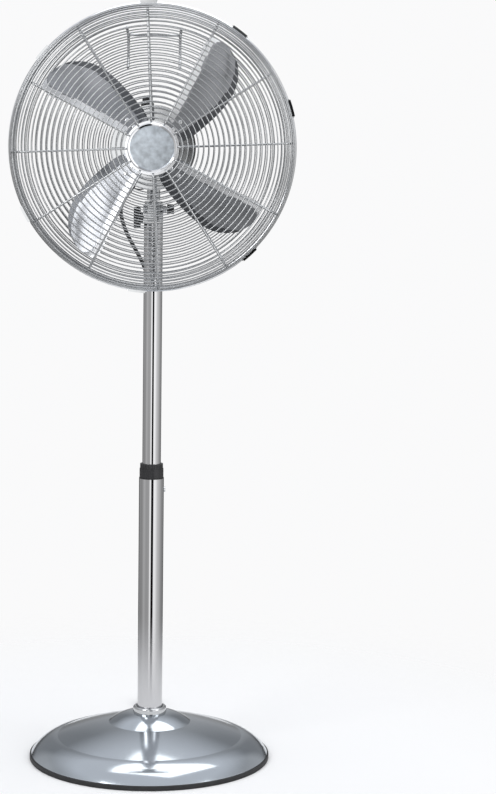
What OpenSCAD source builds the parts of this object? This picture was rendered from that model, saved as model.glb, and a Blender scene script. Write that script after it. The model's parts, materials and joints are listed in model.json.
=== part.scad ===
// Pedestal fan: round weighted base, telescopic pole, tilting and swinging head, wire guards.
// Millimetres. +Z is up, the fan faces -Y, and the origin is on the floor at the pole's axis.

/* [Base] */
// Outer radius of the rubber ring that the base stands on
base_r = 194.5; // [188:0.5:194.5]
// Thickness of the pressed steel base cover
cover_wall = 1.6; // [1.2:0.1:1.8]

/* [Pole] */
// Outer radius of the fixed lower tube
outer_r = 20; // [19.5:0.1:20]
// Outer radius of the sliding upper tube
inner_r = 14.9; // [14.5:0.1:14.9]
// Height of the top edge of the fixed tube
outer_top = 458.6; // [440:0.1:470]
// Height of the top edge of the sliding tube with the fan at its tallest
inner_top = 866; // [860:1:866]

/* [Head] */
// Height of the motor's axis
axis_z = 987; // [985:1:990]
// Outer radius of the motor housing
housing_r = 62; // [62:0.5:64]
// Thickness of the housing shells
housing_wall = 1.5; // [1.2:0.1:1.8]
// Height of the tilt pivot
pivot_z = 890; // [890:0.5:890.5]

/* [Guards] */
// Radius of the rim hoop, measured to the middle of its wire
hoop_r = 215.7; // [215.7:0.1:217]
// Radius of the rim hoop's own wire
hoop_wire = 4.3; // [4:0.1:4.3]
// Number of radial spokes in each guard
spokes = 12; // [8:1:16]
// Radius of a spoke's wire
spoke_wire = 1.5; // [1.2:0.1:1.5]
// Radius of a ring's wire
ring_wire = 1.0; // [0.8:0.1:1]
// Radial distance from one ring to the next
ring_pitch = 8; // [8:0.5:12]

/* [Blades] */
// Number of blades
blade_count = 4; // [3:1:5]
// Thickness of the blade sheet
blade_t = 1.2; // [1:0.1:1.4]
// Pitch of a blade at its root, in degrees
root_pitch = 30; // [26:1:30]
// Pitch of a blade at its tip, in degrees
tip_pitch = 19; // [15:1:22]

/* [Cord] */
// Outer diameter of the mains lead
cord_d = 6.2; // [5.6:0.1:6.2]

/* [Hidden] */
$fn = 64;
gap = 0.05;

chrome = [0.82, 0.83, 0.85];
satin = [0.72, 0.73, 0.75];
black = [0.07, 0.07, 0.075];
steel = [0.6, 0.6, 0.62];
copper = [0.72, 0.42, 0.2];
grey = [0.35, 0.36, 0.38];

// Base cover outline: lip, two creases and the foot of the dome
cover_lip = [base_r - 2.5, 8];
crease_low = [149.5, 35];
crease_high = [66, 58];
dome_top = [26.9, 74.5];

// Layout of the pole, from the floor up
tube_start = 60;
outer_wall = 1.5;
inner_wall = 1.2;
bush_len = 63.5;
foot_z = 372;
foot_len = 20;
collar_base = outer_top + 1.6;
knob_z = pivot_z - 14;

// The swing axis is the pole's axis
spindle_r = 6;
boss_r = 10.4;

// Motor housing, measured along the motor's axis, forward positive
joint_h = 11;
front_h = 56;
back_h = -112;
back_cap_r = 160;
back_corner_r = 28;

// Motor stack, measured along the motor's axis
stack_back = -5;
stack_front = 21;
winding_h = 9;

// Guards, measured along the motor's axis
hoop_h = 112;
front_apex = 164;
front_cap_r = 1208;
front_corner_r = 22;
front_wall_r = hoop_r - 1.3;
rear_apex = 58.6;
rear_cap_r = 1276;
rear_corner_r = 30;
rear_wall_r = hoop_r - 2.9;
spoke_turn = 2.5;
ring_lift = spoke_wire + ring_wire + gap;
first_ring_r = 46;
first_rear_ring_r = 70;
wire_sides = 6;

// Guard clips, as angles round the motor's axis
clip_angles = [92, 140, 208, 264, 313, 16.5, 53.5];
clip_spread = 6.8;
clip_pin = [219.4, 104.2];

// Blades
blade_h = 108;
first_blade = 47;
flat_root = 66;
blade_tip_r = 188;
shaft_r = 4;

// Vertical shafts of the swing gearbox
gear_x = -12;
gear_y = 60;

// Places on the housing, as angles from the top towards -X
speed_angle = 47;
speed_y = 44;
gland_angle = 150;
gland_y = 54;

// Puts a shape drawn round Z on the motor's axis, with Z pointing forward and Y up
module on_axis() {
    translate([0, 0, axis_z]) rotate([90, 0, 0]) children();
}

// Puts a shape drawn up +Z on the housing's skin, at an angle from the top towards -X
module on_skin(angle, y) {
    translate([0, y, axis_z]) rotate([0, -angle, 0]) translate([0, 0, housing_r]) children();
}

module tube(r_out, r_in, z0, z1) {
    translate([0, 0, z0]) difference() {
        cylinder(r = r_out, h = z1 - z0);
        translate([0, 0, -1]) cylinder(r = r_in, h = z1 - z0 + 2);
    }
}

module disc(r, z0, z1) {
    translate([0, 0, z0]) cylinder(r = r, h = z1 - z0);
}

function unit(v) = v / norm(v);
function arc_radius(a, b, sag) = norm(b - a) * norm(b - a) / (8 * sag) + sag / 2;
function arc_centre(a, b, sag) =
    (a + b) / 2 - unit([a.y - b.y, b.x - a.x]) * (arc_radius(a, b, sag) - sag);

// The area under a convex arc from a to b, with the arc moved inwards by inset
module under_arc(a, b, sag, inset) {
    intersection() {
        translate(arc_centre(a, b, sag)) circle(r = arc_radius(a, b, sag) - inset, $fn = 360);
        translate([a.x, -1]) square([b.x - a.x, a.y + 10]);
    }
}

module cover_area(inset) {
    translate([0, -1]) square([dome_top.x, dome_top.y + 1 - inset]);
    under_arc(dome_top, crease_high, 3, inset);
    under_arc(crease_high, crease_low, 2, inset);
    intersection() {
        under_arc(crease_low, cover_lip, 5, inset);
        translate([0, -1]) square([cover_lip.x - inset, 100]);
    }
}

module base_cover() {
    color(chrome) rotate_extrude($fn = 180) difference() {
        cover_area(0);
        cover_area(cover_wall);
        translate([-1, -2]) square([300, 5.05]);
        translate([-1, -2]) square([outer_r + 1.2, 100]);
    }
}

module base_weight() {
    color(grey) rotate_extrude($fn = 120) polygon([
        [6, 8.1], [110, 8.1], [110, 11], [60, 13], [34, 24], [26, 40], [24, tube_start - gap],
        [6, tube_start - gap]
    ]);
}

module base_rim() {
    color(black) rotate_extrude($fn = 180) polygon([
        [base_r - 10.5, 0], [base_r, 0], [base_r, 6.5], [base_r - 2.2, 7.5],
        [base_r - 2.2, 3], [base_r - 10.5, 3]
    ]);
}

module base_bolt() {
    color(steel) {
        cylinder_at_hex(10, 1, 6.5);
        tube(12, 5.1, 6.55, 8.05);
        disc(5, 6.5, 80);
    }
}

module cylinder_at_hex(r, z0, z1) {
    translate([0, 0, z0]) cylinder(r = r, h = z1 - z0, $fn = 6);
}

module pole_socket() {
    color(steel) difference() {
        disc(18.4, 60.1, 88);
        disc(5.05, 60, 82);
    }
}

module foot_ring() {
    color(chrome) rotate_extrude($fn = 120) {
        translate([outer_r + 0.1, dome_top.y + gap]) square([6.8, 6.1]);
        translate([outer_r + 3.5, dome_top.y + 6.1]) circle(r = 3.4);
    }
}

module outer_tube() {
    color(chrome) difference() {
        tube(outer_r, outer_r - outer_wall, tube_start, outer_top);
        screw_axis() translate([0, 0, -6]) cylinder(r = 2, h = 10);
    }
}

// The small screw that keeps the bush in the fixed tube, on the +X side
module screw_axis() {
    translate([outer_r, 0, outer_top - 18]) rotate([0, 90, 0]) children();
}

module tube_bush() {
    color(black) difference() {
        union() {
            tube(outer_r - outer_wall - 0.05, inner_r + 0.07, outer_top - bush_len, outer_top);
            tube(outer_r - 0.1, inner_r + 0.07, outer_top, outer_top + 1.4);
        }
        screw_axis() translate([0, 0, -8]) cylinder(r = 1.95, h = 10);
    }
}

module bush_screw() {
    color(chrome) screw_axis() difference() {
        union() {
            translate([0, 0, -4.4]) cylinder(r = 1.9, h = 4.6);
            translate([0, 0, 0.15]) cylinder(r1 = 4.5, r2 = 3.9, h = 2.2);
        }
        translate([-3, -0.4, 1.6]) cube([6, 0.8, 2]);
        translate([-0.4, -3, 1.6]) cube([0.8, 6, 2]);
    }
}

module clamp_collet() {
    color(black) difference() {
        tube(16.8, inner_r + 0.07, outer_top + 2.4, outer_top + 21.4);
        for (turn = [0:60:120]) rotate([0, 0, turn])
            translate([-20, -0.8, outer_top + 8]) cube([40, 1.6, 20]);
    }
}

module lock_collar() {
    color(black) difference() {
        union() {
            tube(19.2, 17, collar_base, collar_base + 14.5);
            tube(18.4, 17, collar_base + 14.5, collar_base + 21.3);
            tube(18.4, inner_r + 0.4, collar_base + 21.3, collar_base + 22.3);
        }
        for (turn = [0:15:345]) rotate([0, 0, turn])
            translate([19.6, 0, collar_base + 16]) cylinder(r = 1.8, h = 8, $fn = 24);
    }
}

module inner_tube() {
    color(chrome) tube(inner_r, inner_r - inner_wall, foot_z, inner_top);
}

// Stops the sliding tube from leaving the fixed one
module tube_foot() {
    color(black) tube(outer_r - outer_wall - 0.1, inner_r + 0.05, foot_z, foot_z + foot_len);
}

module fork_bracket() {
    color(chrome) difference() {
        union() {
            disc(inner_r - inner_wall - 0.05, inner_top - 31, inner_top);
            disc(15.2, inner_top, inner_top + 2);
            for (side = [-1, 1]) translate([side * 12.2, 0, 0]) fork_cheek();
        }
        translate([-40, 0, pivot_z]) rotate([0, 90, 0]) cylinder(r = 3.05, h = 80);
        translate([-40, 0, knob_z]) rotate([0, 90, 0]) cylinder(r = 3.05, h = 80);
        disc(8, inner_top - 40, inner_top - 2);
    }
}

module fork_cheek() {
    translate([3, 0, 0]) rotate([0, -90, 0]) linear_extrude(height = 6) cheek_outline();
}

// Side view of one cheek: X is height and Y is depth
module cheek_outline() {
    shoulder = pivot_z - 5;
    polygon([
        [inner_top + 1, -13], [shoulder, -13], [pivot_z, -7],
        [pivot_z, 7], [shoulder, 13], [inner_top + 1, 13]
    ]);
    translate([pivot_z, 0]) circle(r = 7);
}

module pivot_bolt() {
    color(steel) translate([0, 0, pivot_z]) rotate([0, 90, 0]) {
        translate([0, 0, -16.2]) cylinder(r = 6.5, h = 0.9);
        translate([0, 0, -15.5]) cylinder(r = 3, h = 45.5);
        translate([0, 0, 15.3]) cylinder(r = 5.5, h = 4.5, $fn = 6);
    }
}

module pivot_cap() {
    color(black) translate([0, 0, pivot_z]) rotate([0, 90, 0]) difference() {
        translate([0, 0, 21.5]) cylinder(r = 7.85, h = 11);
        translate([0, 0, 21]) cylinder(r = 3.05, h = 9.05);
        for (turn = [0:30:330]) rotate([0, 0, turn])
            translate([8.5, 0, 24]) cylinder(r = 1.2, h = 10, $fn = 24);
    }
}

module tilt_knob() {
    color(black) translate([0, 0, knob_z]) rotate([0, -90, 0]) {
        difference() {
            union() {
                translate([0, 0, 16.5]) cylinder(r = 9, h = 4);
                translate([0, 0, 20.4]) cylinder(r = 17, h = 10.6);
            }
            for (turn = [0:20:340]) rotate([0, 0, turn])
                translate([18.4, 0, 19]) cylinder(r = 2.6, h = 14, $fn = 24);
            translate([0, 0, 29.4]) cylinder(r = 11, h = 2);
        }
        translate([0, 0, -14]) cylinder(r = 3, h = 31);
    }
}

// Tongue between the fork's cheeks, with the slot that the lock stud runs in, and the spindle
module neck_block() {
    color(chrome) {
        difference() {
            union() {
                translate([-9, 0, pivot_z]) rotate([0, 90, 0]) linear_extrude(height = 18)
                    tongue_outline();
                disc(14, pivot_z + 7.5, pivot_z + 12);
            }
            translate([-20, 0, pivot_z]) rotate([0, 90, 0]) cylinder(r = 3.05, h = 40);
            translate([-20, 0, pivot_z]) rotate([0, 90, 0]) linear_extrude(height = 40)
                lock_slot();
        }
        disc(spindle_r, pivot_z + 11.9, pivot_z + 43);
    }
}

// X points down from the pivot and Y is depth
module tongue_outline() {
    intersection() {
        circle(r = 21);
        translate([0, -12]) square([30, 24]);
    }
    translate([-8, -12]) square([8.1, 24]);
}

module lock_slot() {
    rotate_slot = 22;
    difference() {
        circle(r = 17.3);
        circle(r = 10.7);
        rotate([0, 0, rotate_slot]) translate([-30, 0]) square([60, 30]);
        rotate([0, 0, -rotate_slot]) translate([-30, -30]) square([60, 30]);
    }
    for (side = [-1, 1]) rotate([0, 0, side * rotate_slot]) translate([14, 0]) circle(r = 3.28);
}

function corner_rise(cap_r, wall_r, corner_r) =
    sqrt((cap_r - corner_r) * (cap_r - corner_r) - (wall_r - corner_r) * (wall_r - corner_r));
// Angle from the axis to the place where a spherical cap meets its corner arc
function corner_start(cap_r, wall_r, corner_r) =
    atan2(wall_r - corner_r, corner_rise(cap_r, wall_r, corner_r));

// Half section of a closed dome: a shallow cap, a round corner and a straight wall up to y = top
module dome_area(inset, top) {
    wall_r = housing_r - inset;
    corner_r = back_corner_r - inset;
    centre_h = back_h + back_cap_r;
    rise = corner_rise(back_cap_r, housing_r, back_corner_r);
    turn = corner_start(back_cap_r, housing_r, back_corner_r);
    corner = [housing_r - back_corner_r, centre_h - rise];
    join_r = sin(turn) * (back_cap_r - inset);
    low = back_h - 9;
    intersection() {
        translate([0, centre_h]) circle(r = back_cap_r - inset, $fn = 360);
        translate([0, low]) square([join_r, corner.y - low]);
    }
    intersection() {
        translate(corner) circle(r = corner_r, $fn = 120);
        translate([join_r, low]) square([wall_r + 1 - join_r, corner.y - low]);
    }
    translate([0, corner.y]) square([wall_r, top - corner.y]);
}

module rear_housing() {
    color(chrome) difference() {
        union() {
            on_axis() rotate_extrude($fn = 180) dome_area(0, joint_h);
            translate([gear_x, gear_y, axis_z + 50]) cylinder(r = 14, h = 12.6);
        }
        on_axis() rotate_extrude($fn = 180) dome_area(housing_wall, joint_h + 1);
        on_axis() for (k = [0:23]) rotate([0, 0, k * 15]) vent_slot();
        on_axis() disc(2.1, back_h - 2, back_h + 6);
        boss_hole();
        translate([gear_x, gear_y, axis_z + 50]) cylinder(r = 3.3, h = 20);
        on_skin(speed_angle, speed_y) translate([0, 0, -6]) cylinder(r = 3.4, h = 10);
        on_skin(gland_angle, gland_y) translate([0, 0, -6]) cylinder(r = 4.1, h = 10);
        on_skin(172, 53) translate([-1.5, -17, -4]) cube([3, 34, 8]);
    }
}

// Clearance in the housing's underside for the swivel boss
module boss_hole() {
    translate([0, 0, axis_z - 70]) cylinder(r = boss_r + 0.2, h = 20);
}

// One radial slot of the rear vent, with round ends
module vent_slot() {
    translate([0, 0, back_h - 4]) linear_extrude(height = 14) {
        translate([11, -1.2]) square([13, 2.4]);
        for (end = [11, 24]) translate([end, 0]) circle(r = 1.2, $fn = 24);
    }
}

module front_cover_area(inset) {
    corner_r = 8;
    translate([0, joint_h + 0.2]) square([housing_r - inset, front_h - corner_r - joint_h - 0.2]);
    translate([0, joint_h + 0.2])
        square([housing_r - corner_r, front_h - inset - joint_h - 0.2]);
    translate([housing_r - corner_r, front_h - corner_r]) circle(r = corner_r - inset, $fn = 64);
}

module front_cover() {
    spigot_r = housing_r - housing_wall - 0.1;
    color(chrome) difference() {
        on_axis() {
            rotate_extrude($fn = 180) {
                difference() {
                    front_cover_area(0);
                    front_cover_area(housing_wall);
                    translate([0, joint_h - 1]) square([housing_r - housing_wall, 10]);
                }
                translate([spigot_r - 1.4, joint_h - 6]) square([1.4, 14]);
                translate([spigot_r - 1.4, joint_h + 1]) square([2, 7]);
            }
            tube(14, 10.05, 43, front_h - 0.5);
        }
        on_axis() {
            disc(10.05, 40, front_h + 1);
            plate_screws() translate([0, 0, 45]) cylinder(r = 2, h = 14);
            for (k = [0:11]) rotate([0, 0, 15 + k * 30]) translate([24, 0, front_h - 4])
                linear_extrude(height = 8) vent_outline();
        }
        boss_hole();
    }
}

module vent_outline() {
    translate([0, -1.5]) square([14, 3]);
    for (end = [0, 14]) translate([end, 0]) circle(r = 1.5, $fn = 24);
}

module plate_screws() {
    for (k = [0:3]) rotate([0, 0, 45 + k * 90]) translate([50, 0, 0]) children();
}

module stator() {
    color(grey) on_axis() difference() {
        tube(52, 26.4, stack_back, stack_front);
        for (k = [0:15]) rotate([0, 0, k * 22.5]) translate([29, 0, stack_back - 1])
            cylinder(r = 1.8, h = stack_front - stack_back + 2);
    }
}

module windings() {
    color(copper) on_axis() for (z = [stack_front + gap, stack_back - gap - winding_h])
        rotate_extrude() translate([28, z]) round_square(18, winding_h, 3);
}

module round_square(w, h, r) {
    translate([r, 0]) square([w - 2 * r, h]);
    translate([0, r]) square([w, h - 2 * r]);
    for (x = [r, w - r], y = [r, h - r]) translate([x, y]) circle(r = r);
}

module motor_bearings() {
    color(steel) on_axis() for (z = [-42, 44.5]) {
        tube(10, 8.4, z, z + 8);
        tube(5.8, shaft_r + 0.03, z, z + 8);
        translate([0, 0, z + 4]) for (k = [0:7]) rotate([0, 0, k * 45]) translate([7.1, 0, 0])
            sphere(r = 1.25);
    }
}

module gearbox_case() {
    color(grey) difference() {
        union() {
            translate([-26, 43, axis_z - 16]) cube([38, 34, 32]);
            on_axis() disc(13, -43.1, -33);
        }
        translate([-24, 45, axis_z - 14]) cube([34, 30, 28]);
        on_axis() disc(10.05, -42.1, -32);
        on_axis() disc(shaft_r + 0.4, -46, -40);
        translate([gear_x, gear_y, axis_z - 20]) cylinder(r = 2.55, h = 40);
    }
}

module worm_wheel() {
    color("goldenrod") translate([gear_x, gear_y, axis_z]) {
        difference() {
            disc(7.2, -3, 3);
            for (k = [0:19]) rotate([0, 0, k * 18]) translate([7.4, 0, -4])
                cylinder(r = 0.55, h = 8, $fn = 16);
        }
        disc(2.5, -19.5, 18);
        disc(9, -22, -19);
        translate([6, 0, -27]) cylinder(r = 1.5, h = 6);
    }
}

// Flat bar from the crank pin towards the neck, with a round eye at each end
module link_arm() {
    color(steel) translate([gear_x + 6, gear_y, axis_z - 25.5]) difference() {
        union() {
            cylinder(r = 4, h = 2);
            translate([-2.5, -34, 0]) cube([5, 34, 2]);
            translate([0, -34, 0]) cylinder(r = 4, h = 2);
        }
        translate([0, 0, -1]) cylinder(r = 1.55, h = 4);
        translate([0, -34, -1]) cylinder(r = 1.8, h = 4);
    }
}

module capacitor() {
    color(black) translate([20, 62, axis_z - 10]) cube([13, 28, 20]);
}

module rotary_switch() {
    color(grey) on_skin(speed_angle, speed_y) difference() {
        disc(11, -21, -3);
        disc(3.05, -15, -2);
    }
}

module speed_knob() {
    color(black) on_skin(speed_angle, speed_y) {
        disc(3, -14, 1);
        difference() {
            union() {
                disc(17, 0.6, 6);
                translate([0, 0, 6]) cylinder(r1 = 17, r2 = 15, h = 3);
                rotate([0, 0, -34]) translate([-15, -4, 8]) cube([30, 8, 6]);
            }
            for (turn = [0:18:342]) rotate([0, 0, turn])
                translate([18, 0, 0]) cylinder(r = 1.8, h = 12, $fn = 24);
        }
    }
}

module osc_knob() {
    color(black) translate([gear_x, gear_y, axis_z + 63]) {
        disc(3, -40, 1);
        difference() {
            disc(10.5, 0, 7);
            for (turn = [0:30:330]) rotate([0, 0, turn])
                translate([11.6, 0, -1]) cylinder(r = 2, h = 9, $fn = 24);
        }
        difference() {
            disc(8.4, 7, 16);
            for (turn = [0:45:315]) rotate([0, 0, turn])
                translate([9.6, 0, 8]) cylinder(r = 2, h = 9, $fn = 24);
        }
    }
}

module head_screws() {
    color(steel) on_axis() {
        disc(2, back_h - 0.5, back_h + 5.5);
        disc(4.2, back_h - 2.3, back_h - 0.3);
        plate_screws() {
            disc(1.95, 46, front_h + 2);
            disc(3.6, front_h + 1.6, front_h + 3.6);
        }
    }
}

module cord_gland() {
    color(black) on_skin(gland_angle, gland_y) {
        disc(4, -5, 0.3);
        disc(9, 0.05, 4);
        translate([0, 0, 4]) cylinder(r1 = 6, r2 = 3.6, h = 24);
        for (rib = [8:4:20]) disc(6.4 - rib * 0.1, rib, rib + 2);
    }
}

module swivel_boss() {
    color(chrome) difference() {
        union() {
            disc(boss_r, pivot_z + 13.5, pivot_z + 44);
            disc(13.5, pivot_z + 40.2, pivot_z + 43.5);
        }
        disc(spindle_r + 0.05, pivot_z + 10, pivot_z + 50);
    }
}

module motor_shaft() {
    color(steel) on_axis() difference() {
        union() {
            disc(shaft_r, -72, 128);
            disc(4.6, -68, -50);
        }
        for (z = [-66:3:-52]) tube(5, 3.9, z, z + 1.2);
    }
}

module rotor() {
    color(steel) on_axis() tube(26, shaft_r + 0.02, stack_back - 1, stack_front + 1);
}

// Hub tube with one pitched arm behind each blade's root
module blade_spider() {
    color(steel) on_axis() difference() {
        union() {
            disc(10, 94, 118);
            disc(16, 95, 99);
            each_blade() rotate([root_pitch, 0, 0]) translate([6, -14, -2.7]) cube([56, 20, 2]);
        }
        disc(shaft_r + 0.02, 90, 120);
        each_blade() rivet_places() cylinder(r = 2.22, h = 12, center = true);
    }
}

// A blade's own frame: X outwards along the blade, Y counterclockwise, Z forward
module each_blade() {
    for (k = [0:blade_count - 1]) rotate([0, 0, first_blade + k * 360 / blade_count])
        translate([0, 0, blade_h]) children();
}

module rivet_places() {
    rotate([root_pitch, 0, 0]) for (u = [42, 57]) translate([u, -4, 0]) children();
}

// Edges of the blade from root to tip, as distance outwards and distance counterclockwise
leading_edge = [
    [30, -22], [49, -30.6], [77, -35], [112, -37], [140, -34], [161, -25.5], [173, -15.5],
    [182, -5], [187.5, 9]
];
trailing_edge = [
    [30, 12], [55, 17], [84, 24], [115, 33], [143, 42], [160, 48.5], [171, 51.3],
    [181, 50.5], [187, 45]
];
blade_rows = 24;
blade_cols = 8;

function spline(a, b, c, d, t) =
    0.5 * (2 * b + (c - a) * t + (2 * a - 5 * b + 4 * c - d) * t * t
        + (3 * b - 3 * c + d - a) * t * t * t);
function along(points, t) =
    let (last = len(points) - 1, i = min(floor(t), last - 1))
    spline(points[max(i - 1, 0)], points[i], points[i + 1], points[min(i + 2, last)], t - i);
function ease(t) = let (c = min(max(t, 0), 1)) c * c * (3 - 2 * c);
function pitch(u) =
    root_pitch + (tip_pitch - root_pitch) * ease((u - flat_root) / (blade_tip_r - flat_root));
function camber(u) = 4 * ease((u - flat_root) / 50);
function blade_point(i, j, lift) =
    let (
        row = i / blade_rows * (len(leading_edge) - 1),
        s = j / blade_cols,
        bow = 4 * s * (1 - s),
        flat = along(leading_edge, row) * (1 - s) + along(trailing_edge, row) * s,
        u = flat.x + 3 * bow * pow(i / blade_rows, 6)
    )
    [u, flat.y, flat.y * tan(pitch(u)) - camber(u) * bow + lift];

module blade_sheet() {
    half = blade_t / 2 / cos(root_pitch);
    wide = blade_cols + 1;
    layer = (blade_rows + 1) * wide;
    points = [for (lift = [half, -half], i = [0:blade_rows], j = [0:blade_cols])
        blade_point(i, j, lift)];
    skins = [for (i = [0:blade_rows - 1], j = [0:blade_cols - 1])
        let (a = i * wide + j, b = a + 1, c = b + wide, d = a + wide)
        each [[a, b, c], [a, c, d], [c + layer, b + layer, a + layer],
            [d + layer, c + layer, a + layer]]];
    sides = [for (i = [0:blade_rows - 1])
        let (a = i * wide, d = a + wide, b = a + blade_cols, c = b + wide)
        each [[a, d, d + layer], [a, d + layer, a + layer],
            [c, b, b + layer], [c, b + layer, c + layer]]];
    ends = [for (j = [0:blade_cols - 1])
        let (a = j, b = j + 1, c = b + blade_rows * wide, d = a + blade_rows * wide)
        each [[b, a, a + layer], [b, a + layer, b + layer],
            [d, c, c + layer], [d, c + layer, d + layer]]];
    polyhedron(points = points, faces = concat(skins, sides, ends), convexity = 4);
}

module blades() {
    color(satin) on_axis() each_blade() difference() {
        blade_sheet();
        rivet_places() cylinder(r = 2.22, h = 12, center = true);
    }
}

module blade_rivets() {
    color(steel) on_axis() each_blade() rivet_places() {
        translate([0, 0, -3]) cylinder(r = 2.2, h = 4);
        translate([0, 0, -3.8]) cylinder(r = 3.8, h = 1.05);
        translate([0, 0, 0.65]) cylinder(r1 = 3.8, r2 = 2.6, h = 1.2);
    }
}

module blade_nut() {
    color(black) on_axis() difference() {
        union() {
            translate([0, 0, 118.1]) cylinder(r = 10, h = 9, $fn = 6);
            disc(12.5, 118.1, 120);
        }
        disc(shaft_r + 0.03, 118, 128);
    }
}

// Half of the cage as a dome that rises along +Z from the plane of the rim hoop
module guard(rise_h, cap_r, wall_r, corner_r, inner_r, first_r) {
    centre = rise_h - cap_r;
    turn = corner_start(cap_r, wall_r, corner_r);
    corner = [wall_r - corner_r, centre + corner_rise(cap_r, wall_r, corner_r)];
    cap_end_r = corner.x + (corner_r + ring_lift) * sin(turn);
    corner_rings = round((corner_r + ring_lift) * (90 - turn) * PI / 180 / 5.8);
    for (k = [0:spokes - 1]) rotate([90, 0, spoke_turn + k * 360 / spokes]) {
        start = asin(inner_r / cap_r);
        weld = 0.003;
        translate([0, centre, 0])
            rotate_extrude(start = 90 - turn + weld, angle = turn - start - weld, $fn = 720)
            translate([cap_r, 0]) circle(r = spoke_wire, $fn = wire_sides);
        translate([corner.x, corner.y, 0]) rotate_extrude(start = 0, angle = 90 - turn, $fn = 96)
            translate([corner_r, 0]) circle(r = spoke_wire, $fn = wire_sides);
        translate([wall_r, corner.y, 0]) rotate([90, 0, 0])
            cylinder(r = spoke_wire, h = corner.y - hoop_wire, $fn = wire_sides);
    }
    for (r = [first_r:ring_pitch:cap_end_r - ring_pitch * 0.6])
        ring(r, centre + sqrt((cap_r + ring_lift) * (cap_r + ring_lift) - r * r));
    for (k = [0:corner_rings]) {
        a = (90 - turn) * (1 - k / corner_rings);
        ring(corner.x + (corner_r + ring_lift) * cos(a), corner.y + (corner_r + ring_lift) * sin(a));
    }
}

module ring(r, z) {
    translate([0, 0, z]) rotate_extrude($fn = 120) translate([r, 0])
        circle(r = ring_wire, $fn = wire_sides);
}

module front_guard() {
    color(chrome) on_axis() translate([0, 0, hoop_h])
        guard(front_apex - hoop_h, front_cap_r, front_wall_r, front_corner_r, 37.7, first_ring_r);
}

module rear_guard() {
    color(chrome) on_axis() translate([0, 0, hoop_h]) rotate([180, 0, -2 * spoke_turn])
        guard(hoop_h - rear_apex, rear_cap_r, rear_wall_r, rear_corner_r, 38, first_rear_ring_r);
}

module guard_plate() {
    color(chrome) on_axis() difference() {
        tube(66, 34, front_h + 0.05, front_h + 1.55);
        plate_screws() disc(2, 50, 60);
    }
}

// A straight round rod between two points
module rod(a, b, r) {
    d = b - a;
    translate(a) rotate([0, acos(d.z / norm(d)), atan2(d.y, d.x)]) cylinder(r = r, h = norm(d));
}

// Wire bail on top of the rear guard: two bent legs and a cross bar
module carry_handle() {
    side = [[183, 67], [172, 38], [136, 35], [122, 60.5]];
    color(chrome) on_axis() {
        for (x = [-40, 40]) {
            for (i = [0:2]) rod(concat(x, side[i]), concat(x, side[i + 1]), 2.2);
            for (i = [1, 2]) translate(concat(x, side[i])) sphere(r = 2.5);
        }
        rod([-40, 172, 38], [40, 172, 38], 2.2);
    }
}

module rim_hoop() {
    color(chrome) on_axis() {
        translate([0, 0, hoop_h]) rotate_extrude($fn = 180) translate([hoop_r, 0])
            circle(r = hoop_wire);
        for (a = clip_angles) rotate([0, 0, a]) {
            translate([clip_pin.x, 15, clip_pin.y]) rotate([90, 0, 0]) cylinder(r = 0.8, h = 30);
            for (y = [-14.8, 13.4]) translate([217.4, y, 103]) cube([3, 1.4, 6.2]);
        }
    }
}

module badge_ring() {
    color(chrome) on_axis() rotate_extrude($fn = 120) polygon([
        [30, 160.2], [41, 160.2], [41, 161.6], [37.5, 161.6], [37.5, 165.5], [36, 166.8],
        [33.5, 166], [32.7, 164.5], [32.7, 161.6], [30, 161.6]
    ]);
}

module badge_disc() {
    color(satin) on_axis() intersection() {
        disc(32.6, 161.65, 168);
        translate([0, 0, 165.6 - 400]) sphere(r = 400, $fn = 360);
    }
}

// Snap clip over the rim hoop, hinged on the rear side
module guard_clip(number) {
    angle = clip_angles[number - 1];
    color(chrome) on_axis() difference() {
        union() {
            rotate_extrude(start = angle - clip_spread / 2, angle = clip_spread, $fn = 360)
                polygon([
                    [220.1, clip_pin.y], [222.2, clip_pin.y], [222.2, 118.6], [218.4, 118.6],
                    [218.4, 117.4], [220.3, 117.4], [220.3, 106]
                ]);
            rotate([0, 0, angle]) translate([clip_pin.x, 12.5, clip_pin.y])
                rotate([90, 0, 0]) cylinder(r = 1.5, h = 25);
        }
        rotate([0, 0, angle]) translate([clip_pin.x, 20, clip_pin.y])
            rotate([90, 0, 0]) cylinder(r = 0.85, h = 40);
    }
}

module guard_clip_1() { guard_clip(1); }
module guard_clip_2() { guard_clip(2); }
module guard_clip_3() { guard_clip(3); }
module guard_clip_4() { guard_clip(4); }
module guard_clip_5() { guard_clip(5); }
module guard_clip_6() { guard_clip(6); }
module guard_clip_7() { guard_clip(7); }

// Route of the mains lead, from the strain relief down behind the pole to the floor
upper_route = [
    [-45, 54, 909], [-50, 54, 900.3], [-53, 54.5, 890], [-53, 55.5, 878], [-49, 57, 862],
    [-42, 59, 845], [-33, 61, 828], [-24, 62, 814], [-18, 62, 804], [-18, 62, 800.1]
];
middle_route = [
    [-18, 62, 800], [-18, 62, 796], [-12, 62, 784], [-8, 62, 770], [-5, 62, 750], [-4, 61, 725],
    [-4, 61, 706], [-4, 61, 700.1]
];
lower_route = [
    [-4, 61, 700], [-4, 61, 694], [-4, 60, 660], [-4, 58, 610], [-4, 55, 550], [-4, 52, 490], [-4, 50, 430],
    [-4, 48, 370], [-4, 47, 310], [-4, 47, 260], [-4, 48, 210], [-4, 50, 170], [-4, 52, 140],
    [-4, 55, 115], [-4, 61, 92], [-4, 71, 73.5], [-4, 86, 61], [-4, 104, 53.6], [-4, 126, 47],
    [-4, 147, 40.2], [-4, 165, 34.4], [-4, 180, 25.8], [-4, 190, 17.6], [-4, 197, 12],
    [-4, 204, 9.8], [-4, 212, 8], [-4, 220, 4.6]
];
tail_route = [
    [-36, 245.1, 3.1], [-26, 246.5, 3.1], [-17, 251.5, 3.1], [-11, 260, 3.1], [-9, 270, 3.1]
];
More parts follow.
